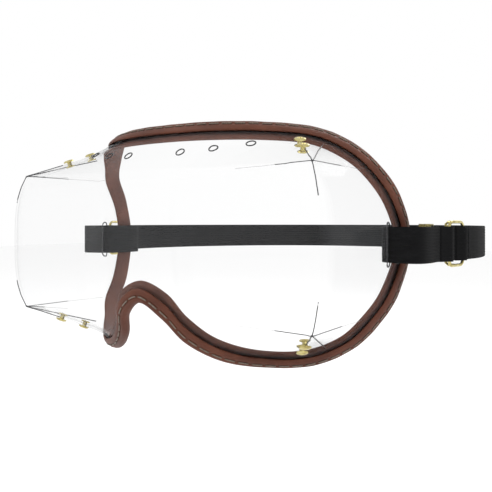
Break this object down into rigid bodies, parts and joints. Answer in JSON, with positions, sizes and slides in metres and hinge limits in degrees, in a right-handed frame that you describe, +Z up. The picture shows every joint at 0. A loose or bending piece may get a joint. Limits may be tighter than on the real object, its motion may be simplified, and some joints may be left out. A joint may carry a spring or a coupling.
{
  "type": "folded clear goggles",
  "caption": "Open-vented goggles folded from one clear plastic sheet, bound at the face in stitched brown leather, with brass rivets and a black elastic head strap on brass slides.",
  "frame": {"origin": "midway between the two strap slots, where the head strap pivots", "axes": "-Y is the way the wearer looks, +Y the back of the head, +Z up, +X the wearer's left"},
  "size_m": [0.2232, 0.2496, 0.1082],
  "materials": {
    "clear_sheet": "clear polished plastic sheet, soft at its folds",
    "brown_leather": "brown leather, fine grain, satin",
    "padding": "felt cord inside the binding",
    "brass": "polished yellow brass",
    "black_elastic": "ribbed woven elastic"
  },
  "bodies": {
    "mask": {"lens_sheet": "clear_sheet", "rim_binding": "brown_leather", "rim_padding_core": "padding", "upper_left_rim_rivet": "brass", "upper_left_rim_washer": "brass", "upper_left_fold_rivet": "brass", "upper_left_fold_washer": "brass", "upper_right_rim_rivet": "brass", "upper_right_rim_washer": "brass", "upper_right_fold_rivet": "brass", "upper_right_fold_washer": "brass", "lower_left_rim_rivet": "brass", "lower_left_rim_washer": "brass", "lower_left_fold_rivet": "brass", "lower_left_fold_washer": "brass", "lower_right_rim_rivet": "brass", "lower_right_rim_washer": "brass", "lower_right_fold_rivet": "brass", "lower_right_fold_washer": "brass"},
    "head_strap": {"rear_strap": "black_elastic", "left_strap_run": "black_elastic", "right_strap_run": "black_elastic"},
    "left_adjuster": {"left_slide": "brass", "left_strap_end": "black_elastic", "left_end_clip": "brass"},
    "right_adjuster": {"right_slide": "brass", "right_strap_end": "black_elastic", "right_end_clip": "brass"}
  },
  "joints": [
    {"name": "strap_tilt", "type": "hinge", "parent": "mask", "child": "head_strap", "pos_m": [0, 0, 0], "axis": [1, 0, 0], "range_deg": [-4, 4]},
    {"name": "left_slide_travel", "type": "slide", "parent": "head_strap", "child": "left_adjuster", "axis": [0.1994, 0.9799, 0], "range_m": [-0.003, 0.004]},
    {"name": "right_slide_travel", "type": "slide", "parent": "head_strap", "child": "right_adjuster", "axis": [-0.1994, 0.9799, 0], "range_m": [-0.003, 0.004]}
  ]
}
